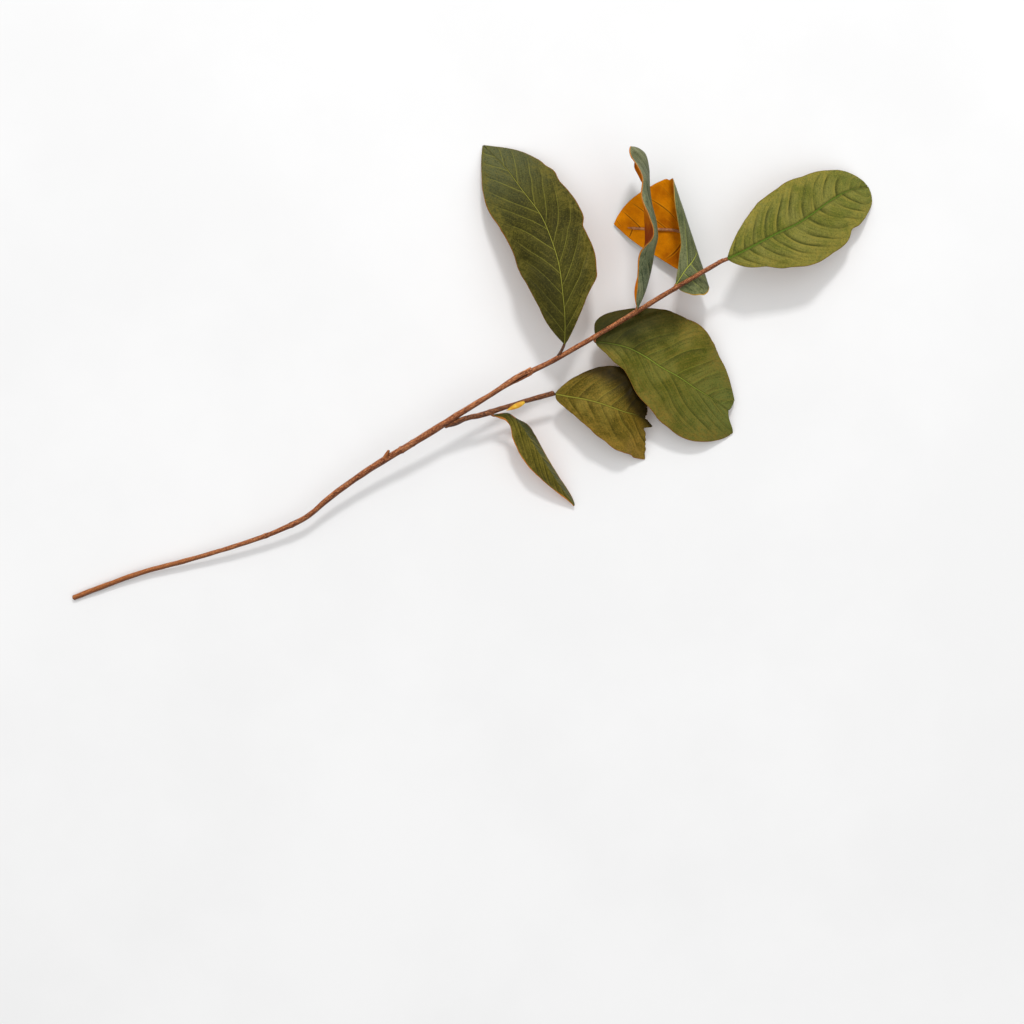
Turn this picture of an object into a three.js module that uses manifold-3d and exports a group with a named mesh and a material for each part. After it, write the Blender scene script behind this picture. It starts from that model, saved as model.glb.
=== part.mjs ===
// A cut magnolia branch that lies on a surface: a woody stem with a side twig, seven dried
// leaves and a small bud. Millimetres, +Z up. The stem runs along +X, from its cut end to its
// last leaf, and the origin is the middle of the underside of the whole branch's box.

import * as THREE from 'three';
import { mergeVertices } from 'three/addons/utils/BufferGeometryUtils.js';
import Module from 'manifold-3d';

const wasm = await Module();
wasm.setup();

// Thicknesses and clearances
const BLADE = 0.7;
const STALK = 1.2;
const RIB = 1.0;
const GAP = 0.3;
const TIP = 0.8;
const MERGE = 1e-4;

// How fast the stalk's thickness and the rib's height fade along the blade
const STALK_FADE = 30;
const RIB_FADE = 0.8;

// Fineness: stations along a leaf, places across half a blade, sides and steps of the wood
const STATIONS = 26;
const ACROSS = [0, 0.07, 0.3, 0.53, 0.77, 1];
const STALK_STEPS = 3;
const SIDES = 10;
const STEM_STEPS = 84;

// The stem's middle line and radius, from the cut end to the last leaf
const STEM = [
  [-337.5, -193.5, 2.2, 2.3], [-305.5, -181, 4, 2.2], [-275, -170.5, 5.5, 2.1],
  [-237, -160.5, 8, 2.0], [-203, -150.5, 10.5, 2.0], [-169, -139, 13, 2.1],
  [-145, -128.5, 15, 2.4], [-133, -121, 16, 2.3], [-122, -111.5, 17.5, 2.4],
  [-105, -98.5, 19.5, 2.5], [-82, -83, 22, 2.6], [-58.5, -69, 24.5, 2.7],
  [-33.5, -54, 27, 2.8], [-5.5, -36.5, 29, 2.3], [12.5, -25.5, 30.5, 2.2],
  [29.5, -15, 31.5, 2.3], [50.5, -3.5, 33, 2.3], [67, 4.5, 34.5, 2.2], [100, 23, 37, 2.1],
  [133, 42.5, 39.5, 2.0], [162, 60, 42.5, 1.9], [191, 77, 45, 1.9], [213, 90, 46.7, 1.8],
];

// The side twig, a spur where a leaf has dropped, a torn scale of bark and two bark sleeves
const TWIG = [
  [-21, -49.5, 26.5, 1.3], [-10.5, -44.5, 27, 1.9], [0, -41, 26.5, 2.0], [8.5, -39.5, 26, 2.1],
  [21, -35.5, 25, 2.1], [35, -31, 24.5, 1.9], [46, -27.5, 24.5, 1.9], [58.5, -24, 24.5, 1.9],
  [71, -20.5, 24.5, 1.8],
];
const SPUR = [[-71, -75.5, 23.5, 1.6], [-69, -71.5, 26, 1.2], [-67.5, -68.5, 27.5, 0.7]];
const SCALE = [[-19, -50.5, 25.5, 1.3], [-11.5, -46.5, 25, 1.3], [-5, -43.5, 25.5, 0.7]];
const STEM_SLEEVE = [[25.5, -17, 31.5, 2.2], [38, -9.5, 32.5, 2.9], [52.5, -1.8, 33.5, 3.1]];
const TWIG_SLEEVE = [[46, -27.5, 24.5, 2.0], [58.5, -24, 24.5, 2.3], [70, -20.7, 24.5, 2.3]];

// The bud: its two ends, and its profile as distance along it and radius
const BUD_FROM = [30.5, -34.7, 26.2];
const BUD_TO = [46.5, -29.5, 26.5];
const BUD_PROFILE = [
  [0, 0], [0.15, 0.8], [0.4, 1.7], [0.65, 2.3], [0.85, 2.1], [0.96, 1.2], [1, 0],
];

// Leaves. stalk is where the leaf stalk starts, inside the wood; rib is the middle line of the
// blade. left and right are half widths at equal steps along it. fold and curl are the angles,
// in degrees, at which a half leaves the rib and by which it bends on the way to its margin,
// and sweep leans it towards the tip. turn rolls the whole blade about its rib. A leaf that is
// rolled up has a ruling, the direction of its straight lines, in place of fold and curl.
// taper is how late the end rounds off, where it does, torn is how ragged a broken end is, and
// waves are margin ripples: height, number, start.
const LEAVES = {
  leaf_upper: {
    stalk: [73, 8, 35], color: 0x4c552a,
    rib: [[79, 19, 40], [79, 40, 47], [77, 62, 50], [74, 84, 49], [68, 105, 44], [59, 127, 36],
      [44, 149, 25], [29, 171, 13], [11, 191, 0.2]],
    left: [1, 15, 22, 29, 34, 34, 35, 35, 31, 23, 15],
    right: [1, 10, 19, 29, 32, 30, 33, 32, 32, 22, 13],
    foldLeft: [10, 6, 4], foldRight: [10, 6, 4], curlLeft: [-30, -25, -20],
    curlRight: [-30, -30, -25], taper: 12, waves: [[1.4, 3.5, 0.1], [0.7, 7, 0.4]],
  },
  leaf_edge_on: {
    stalk: [139, 46, 40], color: 0x566a52,
    rib: [[139.5, 47.5, 43.5], [145.5, 61.5, 47], [149.5, 76, 50], [152, 90, 52],
      [154, 103.5, 53], [153.5, 118.5, 53], [150.5, 133.5, 52], [148.5, 148.5, 50],
      [148.5, 164, 47], [145.5, 177, 42], [139, 182, 31]],
    left: [1, 16, 25, 30, 32, 33, 32, 30, 26, 20, 7],
    right: [1, 16, 25, 30, 31, 31, 30, 28, 25, 15, 6],
    turn: [90, 90],
    foldLeft: [-35, -18, -15, -12, 6, 1, -5, -1, -22, -41, -70],
    foldRight: [-40, -17, -3, 0, 1, 2, 6, 10, 2, -30, -60],
    curlLeft: [-30, -30], curlRight: [-30, -30], taper: 14, waves: [],
  },
  leaf_rolled: {
    stalk: [169.5, 64.5, 43], color: 0xb5730f,
    rib: [[171.5, 68.5, 39], [178.5, 79.5, 41], [185.5, 88.5, 39.5], [189.5, 98.5, 29],
      [184, 110, 19], [175, 116.5, 15], [152, 118.5, 11], [133.5, 120.5, 6.5], [122, 124, 2.5]],
    ruling: [-0.324, 0.946, 0.07],
    left: [2, 7, 14, 22, 46, 58, 62, 57, 51, 48, 44, 38, 31, 24, 16, 9, 2],
    right: [4, 13, 21, 25.5, 30, 32, 33, 38, 42, 43, 42, 35, 26, 19, 11.5, 6, 2],
    taper: 30, waves: [],
  },
  leaf_tip: {
    stalk: [206, 86, 46.3], color: 0x7d8740,
    rib: [[216, 90, 46.5], [228, 96, 48], [241, 103, 47], [256, 111, 44], [272, 119, 39],
      [288, 130, 31.5], [304, 142, 22], [320, 151, 12], [337, 156, 0.2]],
    left: [4, 14, 22, 27, 32, 34, 34, 30, 25, 19, 13],
    right: [4, 14, 20, 28, 33, 37, 37, 36, 32, 28, 24],
    sweepRight: [0, 0, 0, 0, 20],
    foldLeft: [14, 10, 6], foldRight: [10, 8, 6], curlLeft: [-30, -25, -15],
    curlRight: [-30, -25, -15], taper: 14, waves: [[1.2, 3, 0.6], [0.6, 8, 0.1]],
  },
  leaf_broad: {
    stalk: [103.5, 25, 37], color: 0x5f6b31,
    rib: [[107, 21, 33], [118, 20, 33.5], [132, 16.5, 33.5], [146, 9.5, 32.5], [160, 0.5, 30.5],
      [175, -7.5, 27.5], [189, -16.5, 22.5], [204, -25, 16], [219, -35, 8]],
    left: [16, 26, 33, 41, 47, 49, 49, 44, 38, 26, 11],
    right: [2, 9, 16, 19, 25, 32, 38, 40, 42, 35, 24],
    sweepLeft: [-15, 0, 0, 0, 0], sweepRight: [0, 0, 0, 10, 50],
    turn: [-4, -6, -8],
    foldLeft: [6, 6, 6], foldRight: [2, 2, 2], curlLeft: [-25, -25, -25],
    curlRight: [-25, -25, -25], waves: [[1.6, 3, 0.3], [0.6, 7, 0]],
  },
  leaf_twig_end: {
    stalk: [65, -22.5, 24.5], color: 0x6f6225,
    rib: [[74, -22, 24.5], [84, -24, 28], [95, -26, 31], [107, -29, 32], [119, -33, 31],
      [129, -36.5, 28], [138, -38.5, 23], [146, -41.5, 17]],
    left: [3, 15, 20, 26, 32, 35, 37, 34, 31, 23, 12],
    right: [4, 9, 14, 19, 22, 27, 30, 33, 37, 38, 38],
    sweepRight: [0, 0, 5, 17, 33],
    foldLeft: [4, 4], foldRight: [4, 4], curlLeft: [-25, -30], curlRight: [-25, -30],
    torn: 3, waves: [[1.2, 3, 0.8], [0.6, 6, 0.5]],
  },
  leaf_twig_small: {
    stalk: [16.5, -37, 25.3], color: 0x49552c,
    rib: [[20, -39, 24.5], [32, -38.5, 27], [41, -46, 30], [48, -56, 31], [55.5, -67.5, 30],
      [63, -79.5, 27], [70.5, -91, 21], [78.5, -102.5, 13], [88, -115, 4]],
    left: [1, 1.5, 2.5, 9, 10, 9, 8, 8, 8, 9, 10],
    right: [1, 6, 8, 13, 15, 16, 15, 12, 9, 5, 1],
    foldLeft: [-50, -50], foldRight: [-15, -15], curlLeft: [-10, -10], curlRight: [-30, -30],
    taper: 10, waves: [[0.6, 3, 0.2]],
  },
};

const vector = (p) => new THREE.Vector3(p[0], p[1], p[2]);
const radians = THREE.MathUtils.degToRad;

// A smooth curve through points at equal steps of its parameter
function curveThrough(points) {
  return new THREE.CatmullRomCurve3(points.map(vector), false, 'catmullrom', 0.5);
}

// The same smooth curve for one number: the value at t of numbers given at equal steps
function along(values, t) {
  return curveThrough(values.map((value) => [value, 0, 0])).getPoint(t).x;
}

// A closed geometry as a solid, and a solid as a geometry
function solidOf(geometry) {
  geometry.deleteAttribute('normal');
  geometry.deleteAttribute('uv');
  const merged = mergeVertices(geometry, MERGE);
  return new wasm.Manifold(new wasm.Mesh({
    numProp: 3,
    vertProperties: Float32Array.from(merged.attributes.position.array),
    triVerts: Uint32Array.from(merged.index.array),
  }));
}

function geometryOf(solid) {
  const mesh = solid.getMesh();
  const geometry = new THREE.BufferGeometry();
  geometry.setAttribute('position', new THREE.BufferAttribute(mesh.vertProperties, 3));
  geometry.setIndex(new THREE.BufferAttribute(mesh.triVerts, 1));
  return geometry;
}

// A round limb of wood: a cylinder laid along a curve, its radius following the fourth number
// of each point, grown by extra all round
function limb(points, steps, extra = 0, sides = SIDES) {
  const curve = curveThrough(points);
  const radii = points.map((p) => p[3]);
  const geometry = new THREE.CylinderGeometry(1, 1, 1, sides, steps);
  const position = geometry.attributes.position;
  const up = new THREE.Vector3(0, 0, 1);
  const across = new THREE.Vector3();
  const over = new THREE.Vector3();
  for (let i = 0; i < position.count; i += 1) {
    const t = THREE.MathUtils.clamp(position.getY(i) + 0.5, 0, 1);
    const radius = along(radii, t) + extra;
    const ahead = curve.getTangent(t);
    across.crossVectors(ahead, up).normalize();
    over.crossVectors(across, ahead);
    const end = extra * (t === 0 ? -1 : Number(t === 1));
    const place = curve.getPoint(t)
      .addScaledVector(ahead, end)
      .addScaledVector(across, radius * position.getX(i))
      .addScaledVector(over, radius * position.getZ(i));
    position.setXYZ(i, place.x, place.y, place.z);
  }
  return solidOf(geometry);
}

// All the wood as one solid, grown by extra all round
function wood(extra = 0) {
  return limb(STEM, STEM_STEPS, extra)
    .add(limb(TWIG, 12, extra))
    .add(limb(SPUR, 3, extra, 7))
    .add(limb(SCALE, 3, extra, 6))
    .add(limb(STEM_SLEEVE, 5, extra))
    .add(limb(TWIG_SLEEVE, 3, extra));
}

// One place on a leaf's middle surface: t runs from the base to the tip, q from the rib to a
// margin, and side is 1 for the left half and -1 for the right half. The half starts at the
// fold angle and bends evenly by the curl angle, so its section is an arc of the given length.
function leafPoint(leaf, curve, t, q, side) {
  const name = side > 0 ? 'Left' : 'Right';
  const widths = side > 0 ? leaf.left : leaf.right;
  const rounding = leaf.taper ? Math.sqrt(Math.max(1 - t ** leaf.taper, 0)) : 1;
  const width = Math.max(along(widths, t) * rounding, TIP) * q;
  const middle = curve.getPoint(t);
  if (leaf.ruling) {
    return middle.addScaledVector(vector(leaf.ruling), side * width);
  }
  const ahead = curve.getTangent(t);
  const chord = vector(leaf.rib[leaf.rib.length - 1]).sub(vector(leaf.rib[0]));
  const level = new THREE.Vector3(-chord.y, chord.x, 0);
  const out = level.addScaledVector(ahead, -level.dot(ahead)).normalize();
  const top = new THREE.Vector3().crossVectors(ahead, out);
  const turn = radians(leaf.turn ? along(leaf.turn, t) : 0);
  const outward = out.clone().multiplyScalar(Math.cos(turn)).addScaledVector(top, Math.sin(turn));
  const upward = top.multiplyScalar(Math.cos(turn)).addScaledVector(out, -Math.sin(turn));
  const fold = radians(along(leaf[`fold${name}`], t));
  const curl = radians(along(leaf[`curl${name}`], t));
  const sweeps = leaf[`sweep${name}`];
  const sweep = radians(sweeps ? along(sweeps, t) : 0);
  const bent = curl * q;
  const reach = (width / bent) * (Math.sin(fold + bent) - Math.sin(fold));
  let rise = (width / bent) * (Math.cos(fold) - Math.cos(fold + bent));
  for (const [height, number, start] of leaf.waves) {
    const ripple = Math.sin(2 * Math.PI * (number * t + start + (side < 0 ? 0.3 : 0)));
    rise += height * q * q * ripple * Math.sin(Math.PI * t);
  }
  const ragged = leaf.torn ? leaf.torn * t ** 30 * Math.sin(9 * q * side) : 0;
  return middle
    .addScaledVector(outward, side * reach * Math.cos(sweep))
    .addScaledVector(ahead, reach * Math.sin(sweep) + ragged)
    .addScaledVector(upward, rise);
}

// The middle surface as rows of points, from the left margin over the rib to the right one.
// The first rows are the stalk, a narrow strip from inside the wood to the base of the blade.
function leafRows(leaf) {
  const curve = curveThrough(leaf.rib);
  const places = [...ACROSS].reverse().map((q) => [q, 1])
    .concat(ACROSS.slice(1).map((q) => [q, -1]));
  const rows = [];
  for (let i = 0; i <= STATIONS; i += 1) {
    const t = i / STATIONS;
    rows.push(places.map(([q, side]) => leafPoint(leaf, curve, t, Math.max(q, 1e-6), side)));
  }
  const middle = curve.getPoint(0);
  const edge = leafPoint(leaf, curve, 0, 1, 1).sub(leafPoint(leaf, curve, 0, 1, -1)).normalize();
  const stalk = [];
  for (let i = 0; i < STALK_STEPS; i += 1) {
    const centre = vector(leaf.stalk).lerp(middle, i / STALK_STEPS);
    stalk.push(places.map(([q, side]) => centre.clone().addScaledVector(edge, side * q * STALK)));
  }
  return stalk.concat(rows);
}

// How thick the leaf is at a row and a place across: the stalk is round enough to carry the
// blade and thins out into it, and the rib stands proud of the underside
function underside(row, q) {
  const t = Math.max(row - STALK_STEPS, 0) / STATIONS;
  const thickened = Math.exp(-STALK_FADE * t);
  const flank = Math.sqrt(1 - 0.75 * q * q);
  const rib = q === 0 ? RIB * (1 - RIB_FADE * t) : 0;
  return BLADE / 2 + thickened * (STALK * flank - BLADE / 2) * 0.8 + rib * (1 - thickened);
}

// A leaf as a closed body: the middle surface moved out along its normals to both sides, both
// faces split into the same triangles, and walls round the edge
function leafSolid(leaf) {
  const rows = leafRows(leaf);
  const count = rows[0].length;
  const last = rows.length - 1;
  const places = [...ACROSS].reverse().concat(ACROSS.slice(1));
  const position = [];
  for (const face of [1, -1]) {
    for (let i = 0; i <= last; i += 1) {
      for (let j = 0; j < count; j += 1) {
        const ahead = rows[Math.min(i + 1, last)][j].clone().sub(rows[Math.max(i - 1, 0)][j]);
        const out = rows[i][Math.max(j - 1, 0)].clone().sub(rows[i][Math.min(j + 1, count - 1)]);
        const normal = ahead.cross(out).normalize();
        const depth = face > 0 ? underside(i, 1) : underside(i, places[j]);
        const place = rows[i][j].clone().addScaledVector(normal, face * depth);
        position.push(place.x, place.y, place.z);
      }
    }
  }
  const size = (last + 1) * count;
  const index = [];
  const quad = (a, b, c, d) => index.push(a, b, c, a, c, d);
  for (let i = 0; i < last; i += 1) {
    for (let j = 0; j < count - 1; j += 1) {
      const a = i * count + j;
      const b = a + 1;
      const c = b + count;
      const d = a + count;
      index.push(a, b, c, a, c, d);
      index.push(size + a, size + c, size + b, size + a, size + d, size + c);
    }
    const left = i * count;
    const right = left + count - 1;
    quad(left, left + count, size + left + count, size + left);
    quad(right, size + right, size + right + count, right + count);
  }
  for (let j = 0; j < count - 1; j += 1) {
    const first = j;
    const end = last * count + j;
    quad(first, size + first, size + first + 1, first + 1);
    quad(end, end + 1, size + end + 1, size + end);
  }
  const geometry = new THREE.BufferGeometry();
  geometry.setAttribute('position', new THREE.Float32BufferAttribute(position, 3));
  geometry.setIndex(index);
  return solidOf(geometry);
}

// The bud: a turned profile, pointed at one end, laid from one place to another
function budSolid() {
  const from = vector(BUD_FROM);
  const length = from.distanceTo(vector(BUD_TO));
  const profile = BUD_PROFILE.map(([part, radius]) => new THREE.Vector2(radius, part * length));
  const geometry = new THREE.LatheGeometry(profile, 12);
  const direction = vector(BUD_TO).sub(from).normalize();
  geometry.applyQuaternion(new THREE.Quaternion().setFromUnitVectors(
    new THREE.Vector3(0, 1, 0), direction));
  geometry.translate(from.x, from.y, from.z);
  return solidOf(geometry);
}

// What lies below the surface that the branch rests on
const ground = solidOf(new THREE.BoxGeometry(900, 600, 40).translate(0, 0, -20));
const clearance = wood(GAP);

const branch = new THREE.Group();
branch.name = 'magnolia_branch';

function piece(name, solid, color, roughness) {
  const material = new THREE.MeshStandardMaterial({ color, roughness, metalness: 0 });
  const mesh = new THREE.Mesh(geometryOf(solid.subtract(ground)), material);
  mesh.name = name;
  branch.add(mesh);
}

piece('stem', wood(), 0x96552f, 0.65);
piece('bud', budSolid().subtract(clearance), 0xe0b43a, 0.5);
for (const [name, leaf] of Object.entries(LEAVES)) {
  piece(name, leafSolid(leaf).subtract(clearance), leaf.color, 0.55);
}

export default branch;
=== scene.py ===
"""A cut magnolia branch that lies on a pale table, seen from straight above.

Shapes are worked out in millimetres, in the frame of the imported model, and go into the meshes
in metres. A leaf is a blade on the curve of its rib, with the relief of its veins, and a stalk
that runs on under the blade as the rib. The wood is rings carried along curves.
"""

import bpy
import numpy as np
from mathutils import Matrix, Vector


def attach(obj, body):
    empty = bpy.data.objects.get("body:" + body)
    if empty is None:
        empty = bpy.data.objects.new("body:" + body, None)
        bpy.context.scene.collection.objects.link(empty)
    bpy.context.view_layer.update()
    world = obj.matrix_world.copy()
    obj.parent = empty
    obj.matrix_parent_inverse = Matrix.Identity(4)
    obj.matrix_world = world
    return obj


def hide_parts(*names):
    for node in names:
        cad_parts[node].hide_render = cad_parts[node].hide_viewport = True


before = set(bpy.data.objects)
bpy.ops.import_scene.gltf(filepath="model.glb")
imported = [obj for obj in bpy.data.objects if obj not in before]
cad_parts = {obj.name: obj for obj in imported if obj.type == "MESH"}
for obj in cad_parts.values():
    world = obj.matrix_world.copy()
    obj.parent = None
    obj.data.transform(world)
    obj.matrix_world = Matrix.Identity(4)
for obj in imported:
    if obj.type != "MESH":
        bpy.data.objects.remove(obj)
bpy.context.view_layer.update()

MM = 0.001

# Fineness of the blades, the stalks, the wood and the bud
BLADE_ROWS = 200
BLADE_HALF = 48
CLOSER_AT_RIB = 1.2
STALK_RINGS = 120
NECK_RINGS = 12
STALK_SIDES = 12
WOOD_SIDES = 36
BUD_RINGS = 60
BUD_SIDES = 40

# A blade's half thickness at the rib and at the margin, how far its edge stands out, its least
# half width, and how uneven its margin is
HALF_THICK = 0.32
HALF_THIN = 0.2
EDGE_ROUND = 0.15
LEAST_HALF_WIDTH = 0.8
UNEVEN_MARGIN = 0.15

# The groove over the rib and the ridges under the side veins: depth or height, and half width
GROOVE = (0.25, 0.7)
RIDGE = (0.14, 0.6)

# Powers of the place along a blade that keep a change close to its base or to its end
BASE_ROUNDING = 120
JAGGED_END = 30
BITTEN_END = 20

# Seeds of the random draws for the margin and for the relief
MARGIN_SEED = 3
RELIEF_SEED = 5

# Where the first side vein starts, how much further on those of the right half do, and how far
# each start is shifted at most, in steps from vein to vein
VEIN_START = 0.4
VEIN_STAGGER = 0.35
VEIN_SHIFT = 0.13

# The stalk's radius where it leaves the wood, and the rib's from the blade's start to its tip,
# how far below the blade the rib's middle lies beyond its radius, and its rings that close it
STALK_FOOT = 1.45
RIB_RADII = [1.1, 0.9, 0.75, 0.6, 0.45, 0.3]
RIB_BELOW = 0.1
RIB_END_RINGS = 6

# The wood's furrows and lumps, as waves across, over and along the grain, how far its ends are
# rounded, and the radius at which its grain is read
FURROWS = (1.6, 1.6, 0.06)
LUMPS = (0.4, 0.4, 0.35)
END_ROUND = 0.6
GRAIN_RADIUS = 2.0

# The stem's middle line and radius, from the cut end to the last leaf, and in the same way the
# side twig, the spur where a leaf has dropped, the torn scale, the ridge, the dark seam and the
# lip of the rough bark, and the two bark sleeves
STEM = [
    [-337.5, -193.5, 2.2, 2.3], [-305.5, -181, 4, 2.2], [-275, -170.5, 5.5, 2.1],
    [-237, -160.5, 8, 2.0], [-203, -150.5, 10.5, 2.0], [-169, -139, 13, 2.1],
    [-145, -128.5, 15, 2.4], [-133, -121, 16, 2.3], [-122, -111.5, 17.5, 2.5],
    [-105, -98.5, 19.5, 2.6], [-82, -83, 22, 2.7], [-58.5, -69, 24.5, 2.8],
    [-33.5, -54, 27, 2.8], [-5.5, -36.5, 29, 2.5], [12.5, -25.5, 30.5, 2.35],
    [29.5, -15, 31.5, 2.3], [50.5, -3.5, 33, 2.4], [67, 4.5, 34.5, 2.3], [100, 23, 37, 2.1],
    [133, 42.5, 39.5, 2.0], [162, 60, 42.5, 1.9], [191, 77, 45, 1.9], [210.5, 88.3, 46, 1.75],
]
TWIG = [
    [-21, -49.5, 26.5, 1.3], [-10.5, -44.5, 27, 2.1], [0, -41, 26.5, 2.4],
    [8.5, -39.5, 26, 2.5], [21, -35.5, 25, 2.3], [35, -31, 24.5, 2.0],
    [46, -27.5, 24.5, 1.9], [58.5, -24, 24.5, 1.9], [71, -20.5, 24.5, 1.8],
]
SPUR = [[-71.5, -76, 23.5, 2.3], [-69.3, -72, 26, 1.7], [-67.5, -68.6, 27.6, 1.0]]
SCALE = [[-20, -49.6, 25.6, 0.4], [-12, -46.6, 25.2, 1.3], [-4, -43.2, 25.6, 1.2]]
STEM_RIDGE = [[29.5, -15.9, 33.6, 0.7], [38, -9.9, 35.3, 1.1], [47.2, -4.2, 36.4, 1.0]]
STEM_SEAM = [[30.2, -15.6, 33.7, 0.4], [39, -10.9, 35, 0.6], [48.5, -5.7, 35.6, 0.5]]
STEM_LIP = [[31.8, -15.1, 32.4, 0.4], [41.2, -10.6, 33.7, 1.0], [52.2, -4.9, 34.5, 0.9]]
STEM_SLEEVE = [[25.5, -17, 31.5, 2.2], [38, -9.5, 32.5, 2.9], [52.5, -1.8, 33.5, 3.1]]
TWIG_SLEEVE = [[46, -27.5, 24.5, 2.0], [58.5, -24, 24.5, 2.3], [70, -20.7, 24.5, 2.3]]

# The bud: its two ends, its radii at equal steps between them, and the depth and width of the
# fold of its outer scale
BUD_FROM = [30.3, -35.6, 26.2]
BUD_TO = [45.9, -28.4, 26.5]
BUD_RADII = [0, 0.8, 1.5, 2.0, 2.3, 2.2, 1.8, 0.9]
BUD_FOLD = (0.12, 0.12)

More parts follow.
